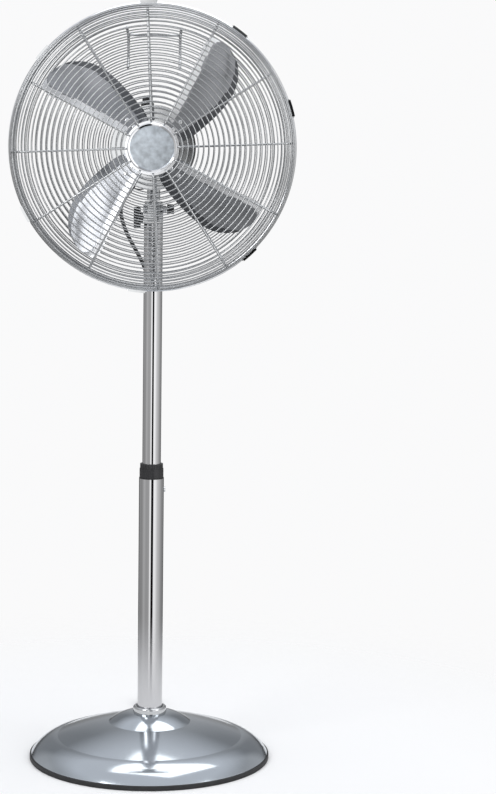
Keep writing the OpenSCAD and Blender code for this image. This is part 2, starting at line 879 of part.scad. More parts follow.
earth_route = [
    [-32, 63.05, 930.8], [-32, 65, 930.8], [-36, 70, 927], [-36, 76, 922], [-28, 80, 919], [-19, 77, 919],
    [-12, 71, 922], [-8, 66, 925]
];
cord_sides = 10;

// The folded rest of the lead behind the base
hank_near = 198.4;
hank_half = 45;
hank_end_r = 24.9;

// Points along a route, no further apart than about one step
function fine_route(route, step) =
    let (last = len(route) - 1)
    concat([for (i = [0:last - 1])
        let (parts = max(1, round(norm(route[i + 1] - route[i]) / step)))
        for (k = [0:parts - 1]) along(route, i + k / parts)], [route[last]]);

function ring_points(path, i, r, sides) =
    let (
        before = path[max(i - 1, 0)],
        after = path[min(i + 1, len(path) - 1)],
        t = unit(after - before),
        side = unit([1, 0, 0] - t.x * t),
        up = cross(t, side)
    )
    [for (k = [0:sides - 1])
        path[i] + r * (cos(k * 360 / sides) * side + sin(k * 360 / sides) * up)];

module swept_tube(path, r, sides) {
    n = len(path);
    points = [for (i = [0:n - 1]) each ring_points(path, i, r, sides)];
    walls = [for (i = [0:n - 2], k = [0:sides - 1])
        let (a = i * sides + k, b = i * sides + (k + 1) % sides, c = b + sides, d = a + sides)
        each [[a, d, c], [a, c, b]]];
    first = [for (k = [0:sides - 1]) k];
    last = [for (k = [sides - 1:-1:0]) (n - 1) * sides + k];
    polyhedron(points = points, faces = concat([first, last], walls), convexity = 6);
}

module cord_tube(route, step) {
    color(black) swept_tube(fine_route(route, step), cord_d / 2, cord_sides);
}

module cord_upper() { cord_tube(upper_route, 16); }

module cord_middle() { cord_tube(middle_route, 18); }

module cord_lower() { cord_tube(lower_route, 20); }

module earth_lead() {
    color(black) swept_tube(fine_route(earth_route, 5), 1, 8);
}

// Folded rest of the lead: an outline with round ends lying on the floor
module cord_hank() {
    color(black) {
        linear_extrude(height = cord_d) {
            translate([-hank_half, hank_near]) square([2 * hank_half, 2 * hank_end_r]);
            for (x = [-hank_half, hank_half]) translate([x, hank_near + hank_end_r])
                circle(r = hank_end_r);
        }
        cord_tube(tail_route, 8);
    }
}

module hank_tie() {
    color(black) translate([-4, 201.5, 0]) rotate([0, 0, 45]) difference() {
        translate([-6.6, -1.1, 0]) cube([13.2, 2.2, 13.8]);
        translate([-5.5, -2, 0.6]) cube([11, 4, 12.6]);
    }
}

// Flat two-pin plug with a tapered boot
module plug() {
    body_z = 7;
    color(black) {
        translate([-9, 270.1, 3.3]) rotate([-82, 0, 0]) cylinder(r1 = 3.2, r2 = 6.4, h = 25);
        translate([-26.5, 294, body_z]) rotate([-90, 0, 0]) linear_extrude(height = 38)
            translate([0, -body_z]) round_square(35, 14, 5);
    }
    color(chrome) for (x = [-18.5, 0.5]) translate([x, 331, body_z]) rotate([-90, 0, 0]) {
        cylinder(r = 2, h = 18);
        translate([0, 0, 18]) sphere(r = 2);
    }
}

base_cover();
base_weight();
base_rim();
base_bolt();
pole_socket();
foot_ring();
outer_tube();
tube_bush();
bush_screw();
clamp_collet();
lock_collar();
inner_tube();
tube_foot();
fork_bracket();
pivot_bolt();
pivot_cap();
tilt_knob();
neck_block();
rear_housing();
front_cover();
stator();
windings();
motor_bearings();
gearbox_case();
capacitor();
rotary_switch();
head_screws();
cord_gland();
earth_lead();
swivel_boss();
motor_shaft();
rotor();
blade_spider();
blades();
blade_rivets();
blade_nut();
worm_wheel();
link_arm();
osc_knob();
speed_knob();
rear_guard();
guard_plate();
carry_handle();
rim_hoop();
front_guard();
badge_ring();
badge_disc();
guard_clip_1();
guard_clip_2();
guard_clip_3();
guard_clip_4();
guard_clip_5();
guard_clip_6();
guard_clip_7();
cord_upper();
cord_middle();
cord_lower();
cord_hank();
hank_tie();
plug();
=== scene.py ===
import json
import math

import bpy
from mathutils import Matrix, Vector


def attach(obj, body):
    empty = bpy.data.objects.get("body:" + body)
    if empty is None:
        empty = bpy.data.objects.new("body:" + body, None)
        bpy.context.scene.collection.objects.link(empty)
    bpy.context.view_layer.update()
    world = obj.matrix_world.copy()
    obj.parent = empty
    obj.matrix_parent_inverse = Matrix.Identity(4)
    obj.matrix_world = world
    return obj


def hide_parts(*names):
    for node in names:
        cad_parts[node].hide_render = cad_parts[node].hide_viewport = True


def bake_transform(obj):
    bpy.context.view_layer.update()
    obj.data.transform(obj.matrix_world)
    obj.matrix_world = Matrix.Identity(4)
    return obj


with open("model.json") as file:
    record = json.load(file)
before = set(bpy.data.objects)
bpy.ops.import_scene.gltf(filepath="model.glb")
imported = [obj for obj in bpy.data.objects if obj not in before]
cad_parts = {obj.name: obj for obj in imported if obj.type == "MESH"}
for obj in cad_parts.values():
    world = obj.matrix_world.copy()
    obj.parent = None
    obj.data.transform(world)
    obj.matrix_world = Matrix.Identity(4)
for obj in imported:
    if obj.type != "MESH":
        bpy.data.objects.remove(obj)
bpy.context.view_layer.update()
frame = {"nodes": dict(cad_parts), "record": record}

MM = 0.001
nodes = frame["nodes"]
scene = bpy.context.scene

# Places that several pieces share, in metres
AXIS_Z = 0.987
HOUSING_R = 0.062
CORD_D, CORD_SIDES = 0.0062, 20
STEP = 0.003    # between the rings of a bent tube


def mm(points):
    """Points given in millimetres, as vectors in metres."""
    return [Vector(p) * MM for p in points]


# ---------------------------------------------------------------- camera

def make_camera():
    data = bpy.data.cameras.new("camera")
    data.lens = 97.25
    data.sensor_width = 36
    camera = bpy.data.objects.new("camera", data)
    camera.location = (0.06, -3.412, 1.008)
    camera.rotation_euler = (math.radians(90 - 6.96), math.radians(-0.75), math.radians(-1.48))
    scene.collection.objects.link(camera)
    scene.camera = camera


make_camera()


# ---------------------------------------------------------------- mesh helpers

def mesh_object(name, verts, faces, material, smooth=True):
    mesh = bpy.data.meshes.new(name)
    mesh.from_pydata([tuple(v) for v in verts], [], faces)
    mesh.update()
    for polygon in mesh.polygons:
        polygon.use_smooth = smooth
    obj = bpy.data.objects.new(name, mesh)
    scene.collection.objects.link(obj)
    mesh.materials.append(material)
    return obj


def spline_point(a, b, c, d, t):
    """Catmull-Rom between b and c."""
    return 0.5 * (2 * b + (c - a) * t + (2 * a - 5 * b + 4 * c - d) * t * t
                  + (3 * b - 3 * c + d - a) * t ** 3)


def along(points, t):
    """The smooth curve through the points, at t counted in points from the first."""
    last = len(points) - 1
    i = min(int(t), last - 1)
    before, after = points[max(i - 1, 0)], points[min(i + 2, last)]
    return spline_point(before, points[i], points[i + 1], after, t - i)


def even_path(points, step):
    """The smooth curve through the points, as points about one step apart."""
    fine = [along(points, i / 24) for i in range(24 * (len(points) - 1) + 1)]
    total = sum((b - a).length for a, b in zip(fine, fine[1:]))
    count = max(2, round(total / step))
    path, walked, target, k = [fine[0]], 0.0, total / count, 1
    for a, b in zip(fine, fine[1:]):
        piece = (b - a).length
        while k < count and walked + piece >= target * k:
            path.append(a.lerp(b, (target * k - walked) / piece))
            k += 1
        walked += piece
    return path + [fine[-1]]


def tube(name, path, radius, sides, material):
    """A closed round tube along a path, carried without twist from ring to ring."""
    verts, faces = [], []
    tangent = (path[1] - path[0]).normalized()
    side = tangent.orthogonal().normalized()
    for i, point in enumerate(path):
        ahead = path[min(i + 1, len(path) - 1)] - path[max(i - 1, 0)]
        turn = tangent.rotation_difference(ahead.normalized())
        side = turn @ side
        tangent = ahead.normalized()
        up = tangent.cross(side)
        for k in range(sides):
            a = 2 * math.pi * k / sides
            verts.append(point + radius * (math.cos(a) * side + math.sin(a) * up))
    for i in range(len(path) - 1):
        for k in range(sides):
            a, b = i * sides + k, i * sides + (k + 1) % sides
            faces.append((a, b, b + sides, a + sides))
    faces.append(tuple(reversed(range(sides))))
    faces.append(tuple(range((len(path) - 1) * sides, len(path) * sides)))
    return mesh_object(name, verts, faces, material)


# ---------------------------------------------------------------- materials

def node_material(name, base, metallic, rough, tint=0.05, tint_scale=30.0, rough_spread=0.05,
                  bump=0.00004, bump_scale=900.0, stretch=(1, 1, 1), wave=None):
    """A finish whose colour, roughness and relief all vary over the surface.

    base is the mean colour, tint how far it drifts, stretch draws the grain out along an axis,
    and wave = (scale, distance, axis) adds parallel ridges such as wire turns or laminations.
    """
    material = bpy.data.materials.new(name)
    material.use_nodes = True
    tree = material.node_tree
    shader = tree.nodes["Principled BSDF"]
    shader.inputs["Metallic"].default_value = metallic
    coords = tree.nodes.new("ShaderNodeTexCoord")
    mapping = tree.nodes.new("ShaderNodeMapping")
    mapping.inputs["Scale"].default_value = stretch
    tree.links.new(coords.outputs["Object"], mapping.inputs["Vector"])

    drift = tree.nodes.new("ShaderNodeTexNoise")
    drift.inputs["Scale"].default_value = tint_scale
    drift.inputs["Detail"].default_value = 5
    ramp = tree.nodes.new("ShaderNodeValToRGB")
    ramp.color_ramp.elements[0].position = 0.3
    ramp.color_ramp.elements[1].position = 0.7
    ramp.color_ramp.elements[0].color = (*[c * (1 - tint) for c in base], 1)
    ramp.color_ramp.elements[1].color = (*[min(1, c * (1 + tint)) for c in base], 1)
    tree.links.new(mapping.outputs["Vector"], drift.inputs["Vector"])
    tree.links.new(drift.outputs["Fac"], ramp.inputs["Fac"])
    tree.links.new(ramp.outputs["Color"], shader.inputs["Base Color"])

    polish = tree.nodes.new("ShaderNodeTexNoise")
    polish.inputs["Scale"].default_value = tint_scale * 2.7
    polish.inputs["Detail"].default_value = 6
    spread = tree.nodes.new("ShaderNodeMapRange")
    spread.inputs["To Min"].default_value = max(0.02, rough - rough_spread)
    spread.inputs["To Max"].default_value = rough + rough_spread
    tree.links.new(mapping.outputs["Vector"], polish.inputs["Vector"])
    tree.links.new(polish.outputs["Fac"], spread.inputs["Value"])
    tree.links.new(spread.outputs["Result"], shader.inputs["Roughness"])

    grain = tree.nodes.new("ShaderNodeTexNoise")
    grain.inputs["Scale"].default_value = bump_scale
    grain.inputs["Detail"].default_value = 3
    relief = tree.nodes.new("ShaderNodeBump")
    relief.inputs["Distance"].default_value = bump
    tree.links.new(mapping.outputs["Vector"], grain.inputs["Vector"])
    tree.links.new(grain.outputs["Fac"], relief.inputs["Height"])
    tree.links.new(relief.outputs["Normal"], shader.inputs["Normal"])
    if wave:
        scale, distance, axis = wave
        ridges = tree.nodes.new("ShaderNodeTexWave")
        ridges.wave_type = "BANDS"
        ridges.bands_direction = axis
        ridges.inputs["Scale"].default_value = scale
        ridges.inputs["Distortion"].default_value = 0.4
        ridged = tree.nodes.new("ShaderNodeBump")
        ridged.inputs["Distance"].default_value = distance
        tree.links.new(coords.outputs["Object"], ridges.inputs["Vector"])
        tree.links.new(ridges.outputs["Fac"], ridged.inputs["Height"])
        tree.links.new(relief.outputs["Normal"], ridged.inputs["Normal"])
        tree.links.new(ridged.outputs["Normal"], shader.inputs["Normal"])
    return material


rim_chrome = node_material("rim_chrome", (0.86, 0.87, 0.89), 1, 0.08, tint=0.03, tint_scale=20,
                           rough_spread=0.03, bump=0.000006, bump_scale=160)
chrome = node_material("chrome", (0.56, 0.57, 0.58), 1, 0.05, tint=0.03, tint_scale=12,
                       rough_spread=0.02, bump=0.000006, bump_scale=160)
housing_chrome = node_material("housing_chrome", (0.64, 0.65, 0.66), 1, 0.24, tint=0.04,
                               tint_scale=20, rough_spread=0.03, bump=0.000006, bump_scale=160)
base_chrome = node_material("base_chrome", (0.50, 0.54, 0.58), 1, 0.13, tint=0.03, tint_scale=12,
                            rough_spread=0.03, bump=0.000006, bump_scale=160)
wire_chrome = node_material("wire_chrome", (0.50, 0.51, 0.52), 1, 0.12, tint=0.06, tint_scale=60,
                            rough_spread=0.05, bump=0.00002, bump_scale=500)
tube_chrome = node_material("tube_chrome", (0.57, 0.57, 0.58), 1, 0.035, tint=0.03, tint_scale=20,
                            rough_spread=0.015, bump=0.000002, bump_scale=220, stretch=(1, 1, 0.03))
blade_metal = node_material("blade_metal", (0.36, 0.37, 0.39), 1, 0.24, tint=0.03, tint_scale=25,
                            rough_spread=0.03, bump=0.000008, bump_scale=500)
# The trailing strip's pale finish is a painted highlight: the same blade metal made lighter where
# the fold catches the light.
strip_painted_highlight = node_material("strip_painted_highlight", (0.88, 0.89, 0.91), 1, 0.30, tint=0.03, tint_scale=25,
                            rough_spread=0.03, bump=0.000008, bump_scale=500)
# The leading curl's dark finish is painted shade: the same blade metal made darker where the roll
# turns away from the light.
curl_painted_shade = node_material("curl_painted_shade", (0.13, 0.135, 0.145), 1, 0.30, tint=0.05, tint_scale=25,
                           rough_spread=0.03, bump=0.000008, bump_scale=500)
badge_metal = node_material("badge_metal", (0.60, 0.65, 0.70), 1, 0.40, tint=0.24, tint_scale=110,
                            rough_spread=0.1, bump=0.00006, bump_scale=420)
satin_steel = node_material("satin_steel", (0.55, 0.56, 0.58), 1, 0.3, tint=0.08, tint_scale=80,
                            rough_spread=0.08, bump=0.00004, bump_scale=900)
black_plastic = node_material("black_plastic", (0.018, 0.018, 0.02), 0, 0.42, tint=0.25,
                              tint_scale=120, rough_spread=0.08, bump=0.00012, bump_scale=1500)
black_rubber = node_material("black_rubber", (0.014, 0.014, 0.015), 0, 0.66, tint=0.3,
                             tint_scale=60, rough_spread=0.1, bump=0.0002, bump_scale=900)
cord_sheath = node_material("cord_sheath", (0.012, 0.012, 0.013), 0, 0.5, tint=0.3, tint_scale=200,
                            rough_spread=0.1, bump=0.00025, bump_scale=700)
cast_iron = node_material("cast_iron", (0.09, 0.09, 0.095), 0.8, 0.7, tint=0.3, tint_scale=90,
                          rough_spread=0.1, bump=0.0006, bump_scale=350)
lamination = node_material("lamination", (0.3, 0.31, 0.33), 1, 0.5, tint=0.12, tint_scale=60,
                           bump=0.00006, wave=(700, 0.0002, "Y"))
winding_wire = node_material("winding_wire", (0.5, 0.2, 0.08), 0.9, 0.35, tint=0.15, tint_scale=80,
                             bump=0.0001, wave=(500, 0.0005, "DIAGONAL"))
gear_brass = node_material("gear_brass", (0.6, 0.42, 0.17), 1, 0.28, tint=0.1, tint_scale=90,
                           bump=0.00005)
grey_plastic = node_material("grey_plastic", (0.26, 0.27, 0.29), 0, 0.5, tint=0.1, tint_scale=80,
                             bump=0.0001, bump_scale=1300)
dial_ink = node_material("dial_ink", (0.015, 0.015, 0.016), 0, 0.5, tint=0.2, tint_scale=300,
                         bump=0.00003)
floor_paint = node_material("floor_paint", (0.87, 0.87, 0.87), 0, 0.75, tint=0.006, tint_scale=2,
                            bump=0.00002, bump_scale=200)

SLOT_MATERIALS = {
    "chrome_steel": chrome, "satin_steel": satin_steel, "blade_alloy": blade_metal,
    "black_plastic": black_plastic, "black_rubber": black_rubber, "cord_sheath": cord_sheath,
    "cast_weight": cast_iron, "lamination": lamination, "winding": winding_wire,
    "gear_brass": gear_brass, "grey_plastic": grey_plastic,
}
NODE_MATERIALS = {
    "rear_guard": wire_chrome, "front_guard": wire_chrome, "carry_handle": wire_chrome,
    "outer_tube": tube_chrome, "inner_tube": tube_chrome, "badge_disc": badge_metal,
    "rear_housing": housing_chrome, "base_cover": base_chrome, "rim_hoop": rim_chrome,
    "badge_ring": rim_chrome, "blade_rivets": rim_chrome,
}


def paint_cad_nodes():
    """Each CAD node takes its own finish, or else the one its material slot has."""
    for part in frame["record"]["subparts"]:
        name = part["node"]
        material = NODE_MATERIALS.get(name, SLOT_MATERIALS[part["material_slot"]])
        mesh = nodes[name].data
        mesh.materials.clear()
        mesh.materials.append(material)


paint_cad_nodes()


# ---------------------------------------------------------------- mains lead

UPPER_ROUTE = mm([
    (-45, 54, 909), (-50, 54, 900.3), (-53, 54.5, 890), (-53, 55.5, 878), (-49, 57, 862),
    (-42, 59, 845), (-33, 61, 828), (-26, 62, 815.5), (-21.8, 62, 807.6), (-18, 62, 800)
])
MIDDLE_ROUTE = mm([
    (-18, 62, 800), (-15, 62, 792.8), (-11.6, 62, 784), (-8, 62, 770), (-5, 62, 750), (-4, 61, 725),
    (-4, 61, 706), (-4, 61, 700)
])
LOWER_ROUTE = mm([
    (-4, 61, 700), (-4, 61, 694), (-4, 60, 660), (-4, 58, 610), (-4, 55, 550), (-4, 52, 490),
    (-4, 50, 430), (-4, 48, 370), (-4, 47, 310), (-4, 47, 260), (-4, 48, 210), (-4, 50, 170),
    (-4, 52, 140),
    (-4, 55, 115), (-4, 61, 92), (-4, 71, 73.5), (-4, 86, 61), (-4, 104, 53.6), (-4, 126, 47),
    (-4, 147, 40.2), (-4, 165, 34.4), (-4, 180, 25.8), (-4, 190, 17.6), (-4, 197, 12),
    (-4, 204, 9.8)
])
FLOOR_Z = 3.15


def turn_points(centre, radius, start, end, heights=(FLOOR_Z, FLOOR_Z), steps=6):
    """Points on the floor along an arc, in millimetres; angles in degrees."""
    points = []
    for k in range(steps + 1):
        t = k / steps
        a = math.radians(start + (end - start) * t)
        z = heights[0] + (heights[1] - heights[0]) * t
        points.append((centre[0] + radius * math.cos(a), centre[1] + radius * math.sin(a), z))
    return points


def hank_route():
    """The folded rest: two runs side by side with round ends, then the turn to the plug."""
    first_turn = turn_points((21, 213.7), 25, 172, 90, (7.6, FLOOR_Z))
    right_fold = turn_points((45, 220.1), 18.6, 90, -90, steps=8)
    left_fold = turn_points((-45, 223.3), 21.8, 270, 90, steps=8)
    last_turn = turn_points((-34, 270.1), 25, -90, 0)
    near_run = [(25, 201.5, FLOOR_Z), (0, 201.5, FLOOR_Z), (-25, 201.5, FLOOR_Z)]
    return mm(first_turn + right_fold + near_run + left_fold + last_turn)


def make_cord(name, route, node_names):
    """One stretch of the lead, as a round tube along its route."""
    path = even_path(route, STEP)
    cord = tube(name, path, CORD_D / 2, CORD_SIDES, cord_sheath)
    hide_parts(*node_names)
    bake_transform(cord)
    return cord


make_cord("lead_upper", UPPER_ROUTE, ["cord_upper"])
make_cord("lead_middle", MIDDLE_ROUTE, ["cord_middle"])
make_cord("lead_lower", LOWER_ROUTE + hank_route(),
          ["cord_lower", "cord_hank"])


# ---------------------------------------------------------------- dial numbers

DIAL_LEAN, DIAL_BACK = 47, 0.044    # the dial's place: degrees round the housing, metres back
NUMBERS_R, NUMBER_SIZE, INK, ABOVE_SKIN = 0.0215, 0.0058, 0.00008, 0.00015


def dial_numbers():
    """Small printed numbers round the speed dial, each lying on the housing's skin."""
    lean = math.radians(DIAL_LEAN)
    for digit, angle in (("0", -34), ("1", -58), ("2", -90), ("3", -126)):
        a = math.radians(angle)
        ahead, round_skin = NUMBERS_R * math.cos(a), NUMBERS_R * math.sin(a)
        on_skin = lean - round_skin / HOUSING_R
        curve = bpy.data.curves.new("dial_" + digit, "FONT")
        curve.body = digit
        curve.size = NUMBER_SIZE
        curve.extrude = INK
        curve.align_x = "CENTER"
        curve.align_y = "CENTER"
        text = bpy.data.objects.new("dial_" + digit, curve)
        scene.collection.objects.link(text)
        out = Vector((-math.sin(on_skin), 0, math.cos(on_skin)))
        forward = Vector((0, -1, 0))
        up = forward.cross(out)
        place = Matrix((forward, -up, out)).transposed().to_4x4()
        place.translation = (Vector((0, DIAL_BACK - ahead, AXIS_Z))
                             + out * (HOUSING_R + ABOVE_SKIN))
        text.matrix_world = place
        curve.materials.append(dial_ink)
        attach(text, "head")


dial_numbers()


# ---------------------------------------------------------------- blades

BLADE_PLANE = 0.108
BLADE_COUNT, BLADE_TURN = 4, 47
ROOT_U, SPAN = 0.066, 0.122         # where the pitch starts to fall off, and over what reach
ROOT_PITCH, PITCH_LOSS = 30, 11     # degrees
STRIP_W, CURL_W = 0.0125, 0.020     # the flat trailing strip and the rolled leading edge
# Width of the band of painted shade along the rolled leading edge
CURL_PAINTED_SHADE_W = 0.013
LEADING = mm([
    (30, -22, 0), (49, -30.6, 0), (77, -35, 0), (112, -37, 0), (140, -34, 0), (161, -25.5, 0),
    (173, -15.5, 0), (182, -5, 0), (187.5, 9, 0)
])
TRAILING = mm([
    (30, 12, 0), (55, 17, 0), (84, 24, 0), (115, 33, 0), (143, 42, 0), (160, 48.5, 0),
    (171, 51.3, 0), (181, 50.5, 0), (187, 45, 0)
])
SHEET = 0.0012
HALF_SKIN = SHEET * 0.56            # a little over half the sheet


def ease(t):
    t = min(max(t, 0), 1)
    return t * t * (3 - 2 * t)


def blade_height(u, w, s, low, high):
    """Forward offset of the pitched sheet at u outwards and w across, between its two edges."""
    pitch = math.radians(ROOT_PITCH - PITCH_LOSS * ease((u - ROOT_U) / SPAN))
    shaped = ease((u - 0.058) / 0.03)
    bow = 4 * s * (1 - s)
    height = w * math.tan(pitch) - 0.004 * ease((u - ROOT_U) / 0.05) * bow
    strip = max(0, w - (high - STRIP_W))
    roll = max(0, low + CURL_W - w)
    return height - shaped * (0.30 * strip + 0.0026 * (roll / CURL_W) ** 1.7)


def blade_grid(rows=72, cols=30):
    grid = []
    for i in range(rows + 1):
        t = i / rows
        low = along(LEADING, t * (len(LEADING) - 1))
        high = along(TRAILING, t * (len(TRAILING) - 1))
        line = []
        for j in range(cols + 1):
            s = j / cols
            point = low.lerp(high, s)
            u = point.x + 0.003 * 4 * s * (1 - s) * t ** 6
            line.append(Vector((u, point.y, blade_height(u, point.y, s, low.y, high.y))))
        grid.append(line)
    return grid


def make_blades():
    grid = blade_grid()
    rows, cols = len(grid), len(grid[0])
    verts, faces, painted_light_tones = [], [], []
    for k in range(BLADE_COUNT):
        turn = Matrix.Rotation(math.radians(BLADE_TURN + 360 / BLADE_COUNT * k), 3, "Z")
        base = len(verts)
        for side in (1, -1):
            for line in grid:
                for p in line:
                    q = turn @ Vector((p.x, p.y, BLADE_PLANE + p.z + side * HALF_SKIN))
                    verts.append(Vector((q.x, -q.z, q.y + AXIS_Z)))
        layer = rows * cols
        for i in range(rows - 1):
            for j in range(cols - 1):
                a = base + i * cols + j
                faces.append((a, a + cols, a + cols + 1, a + 1))
                faces.append((a + layer + 1, a + layer + cols + 1, a + layer + cols, a + layer))
                across = grid[i][j].y
                # Faces on the trailing strip take the painted highlight finish (slot 1)
                strip = across > grid[i][-1].y - STRIP_W and i > 6
                # Faces along the rolled leading edge take the painted shade finish (slot 2)
                in_painted_shade = across < grid[i][0].y + CURL_PAINTED_SHADE_W * (1 - (i / rows) ** 2) and i > 4
                painted_light_tones += [1 if strip else 2 if in_painted_shade else 0] * 2
        rim = ([i * cols for i in range(rows)] + [(rows - 1) * cols + j for j in range(1, cols)]
               + [i * cols + cols - 1 for i in range(rows - 2, -1, -1)]
               + [j for j in range(cols - 2, 0, -1)])
        for a, b in zip(rim, rim[1:] + rim[:1]):
            faces.append((base + a, base + a + layer, base + b + layer, base + b))
            painted_light_tones.append(0)
    blades = mesh_object("pressed_blades", verts, faces, blade_metal)
    # Slot 1 is the strip's painted highlight, slot 2 the curl's painted shade
    blades.data.materials.append(strip_painted_highlight)
    blades.data.materials.append(curl_painted_shade)
    for polygon, tone in zip(blades.data.polygons, painted_light_tones):
        polygon.material_index = tone
    edge = blades.modifiers.new("edge", "EDGE_SPLIT")
    edge.split_angle = math.radians(50)
    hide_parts("blades")
    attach(blades, "fan")


make_blades()


# ---------------------------------------------------------------- guards

HOOP_R, HOOP_WIRE, HOOP_H = 0.2157, 0.0043, 0.112
SPOKE_WIRE, RING_WIRE = 0.0015, 0.001
SPOKES, SPOKE_TURN = 12, 2.5
RING_LIFT = SPOKE_WIRE + RING_WIRE * 0.7    # the rings lie on the spokes, a little sunk in
CAP_PITCH, CORNER_PITCH = 0.008, 0.0058     # between rings, on the cap and round the corner
CAP_MARGIN = 0.6 * CAP_PITCH
BAIL_WIRE, BAIL_SIDES = 0.0021, 14


def on_axis(x, y, h):
    """A point measured from the motor's axis: right, up and forward."""
    return Vector((x, -h, y + AXIS_Z))


class Dome:
    """Half a cage: a shallow cap, a round corner and a short wall, rising from the hoop."""

    def __init__(self, rise, cap_r, wall_r, corner_r, side):
        self.cap_r, self.wall_r, self.corner_r, self.side = cap_r, wall_r, corner_r, side
        self.centre = rise - cap_r
        reach = wall_r - corner_r
        lift = math.sqrt((cap_r - corner_r) ** 2 - reach ** 2)
        self.corner = (reach, self.centre + lift)
        self.turn = math.atan2(reach, lift)

    def height(self, rise):
        return HOOP_H + self.side * rise

    def spoke(self, inner_r, angle):
        """Path of one spoke from the middle of the cage down to the hoop."""
        start = math.asin(inner_r / self.cap_r)
        profile = []
        for k in range(25):
            a = start + (self.turn - start) * k / 24
            profile.append((self.cap_r * math.sin(a), self.centre + self.cap_r * math.cos(a)))
        for k in range(1, 13):
            a = self.turn + (math.pi / 2 - self.turn) * k / 12
            profile.append((self.corner[0] + self.corner_r * math.sin(a),
                            self.corner[1] + self.corner_r * math.cos(a)))
        profile.append((self.wall_r, HOOP_WIRE * 0.8))
        a = math.radians(angle)
        return [on_axis(r * math.cos(a), r * math.sin(a), self.height(z)) for r, z in profile]

    def rings(self, first_r):
        """Radius and height of every ring wire, from the middle outwards."""
        places = []
        cap = self.cap_r + RING_LIFT
        bend = self.corner_r + RING_LIFT
        cap_end = self.corner[0] + bend * math.sin(self.turn)
        r = first_r
        while r <= cap_end - CAP_MARGIN:
            places.append((r, self.centre + math.sqrt(cap * cap - r * r)))
            r += CAP_PITCH
        count = round(bend * (math.pi / 2 - self.turn) / CORNER_PITCH)
        for k in range(count + 1):
            a = self.turn + (math.pi / 2 - self.turn) * k / count
            places.append((self.corner[0] + bend * math.sin(a),
                           self.corner[1] + bend * math.cos(a)))
        return [(r, self.height(z)) for r, z in places]


def torus_mesh(verts, faces, major, minor, h, around=144, sides=10):
    base = len(verts)
    for i in range(around):
        a = 2 * math.pi * i / around
        for k in range(sides):
            b = 2 * math.pi * k / sides
            r = major + minor * math.cos(b)
            verts.append(on_axis(r * math.cos(a), r * math.sin(a), h + minor * math.sin(b)))
    for i in range(around):
        for k in range(sides):
            a, b = base + i * sides + k, base + i * sides + (k + 1) % sides
            c = base + (i + 1) % around * sides + (k + 1) % sides
            d = base + (i + 1) % around * sides + k
            faces.append((a, b, c, d))


def join(pieces, name):
    """One object out of several meshes."""
    bpy.ops.object.select_all(action="DESELECT")
    for piece in pieces:
        piece.select_set(True)
    bpy.context.view_layer.objects.active = pieces[0]
    bpy.ops.object.join()
    pieces[0].name = name
    return pieces[0]


def make_guard(name, dome, inner_r, first_r, node):
    verts, faces = [], []
    for r, h in dome.rings(first_r):
        torus_mesh(verts, faces, r, RING_WIRE, h)
    rings = mesh_object(name + "_rings", verts, faces, wire_chrome)
    spokes = [tube(name + "_spoke", dome.spoke(inner_r, SPOKE_TURN + k * 360 / SPOKES),
                   SPOKE_WIRE, 12, wire_chrome) for k in range(SPOKES)]
    guard = join([rings] + spokes, name)
    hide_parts(node)
    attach(guard, "head")


FRONT_DOME = Dome(rise=0.052, cap_r=1.208, wall_r=HOOP_R - 0.0013, corner_r=0.022, side=1)
REAR_DOME = Dome(rise=0.0534, cap_r=1.276, wall_r=HOOP_R - 0.0029, corner_r=0.030, side=-1)
make_guard("front_wires", FRONT_DOME, inner_r=0.0377, first_r=0.046, node="front_guard")
make_guard("rear_wires", REAR_DOME, inner_r=0.038, first_r=0.070, node="rear_guard")


def make_handle():
    """Wire bail on top of the rear guard, with rounded bends and feet tucked on the rings."""
    half = 40
    side = [(122, 60.5), (131, 43), (137, 37), (150, 35.6), (165, 36.5), (171, 38.5)]
    left = [on_axis(-half * MM, y * MM, h * MM) for y, h in side]
    right = [on_axis(half * MM, y * MM, h * MM) for y, h in reversed(side)]
    bar = [on_axis(x * MM, 173 * MM, 39 * MM) for x in (-37, -34, -20, 0, 20, 34, 37)]
    bail = tube("bail", even_path(left + bar + right, STEP), BAIL_WIRE, BAIL_SIDES, wire_chrome)
    stays = []
    for x in (-half, half):
        stay = [on_axis(x * MM, 170 * MM, 38.5 * MM),
                on_axis(x * 1.02 * MM, 176 * MM, 46 * MM),
                on_axis(x * 1.04 * MM, 181 * MM, 58 * MM),
                on_axis(x * 1.04 * MM, 183 * MM, 67 * MM)]
        stays.append(tube("stay", even_path(stay, STEP), BAIL_WIRE, BAIL_SIDES, wire_chrome))
    handle = join([bail] + stays, "wire_bail")
    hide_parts("carry_handle")
    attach(handle, "head")


make_handle()


# ---------------------------------------------------------------- floor and light

def fade_out(material, inner, outer):
    """Let a finish fade away from inner to outer, so that chrome reflects no hard edge."""
    tree = material.node_tree
    coords = tree.nodes.new("ShaderNodeTexCoord")
    reach = tree.nodes.new("ShaderNodeVectorMath")
    reach.operation = "LENGTH"
    fade = tree.nodes.new("ShaderNodeMapRange")
    fade.interpolation_type = "SMOOTHSTEP"
    fade.inputs["From Min"].default_value = inner
    fade.inputs["From Max"].default_value = outer
    fade.inputs["To Min"].default_value = 1
    fade.inputs["To Max"].default_value = 0
    tree.links.new(coords.outputs["Object"], reach.inputs[0])
    tree.links.new(reach.outputs["Value"], fade.inputs["Value"])
    tree.links.new(fade.outputs["Result"], tree.nodes["Principled BSDF"].inputs["Alpha"])


def make_floor():
    """A round pale floor that is solid under the fan and fades away to its edge."""
    solid_r, radius, count = 0.3, 1.1, 96
    fade_out(floor_paint, solid_r, radius)
    rim = [(radius * math.cos(k * 2 * math.pi / count), radius * math.sin(k * 2 * math.pi / count),
            0) for k in range(count)]
    floor = mesh_object("floor", rim, [tuple(range(count))], floor_paint, smooth=False)
    floor.location.z = -0.0002


def ramp_of(tree, stops):
    """A colour ramp through grey levels, as (position, value) pairs."""
    ramp = tree.nodes.new("ShaderNodeValToRGB")
    elements = ramp.color_ramp.elements
    while len(elements) < len(stops):
        elements.new(0.5)
    for element, (position, value) in zip(elements, stops):
        element.position = position
        element.color = (value, value, value, 1)
    return ramp


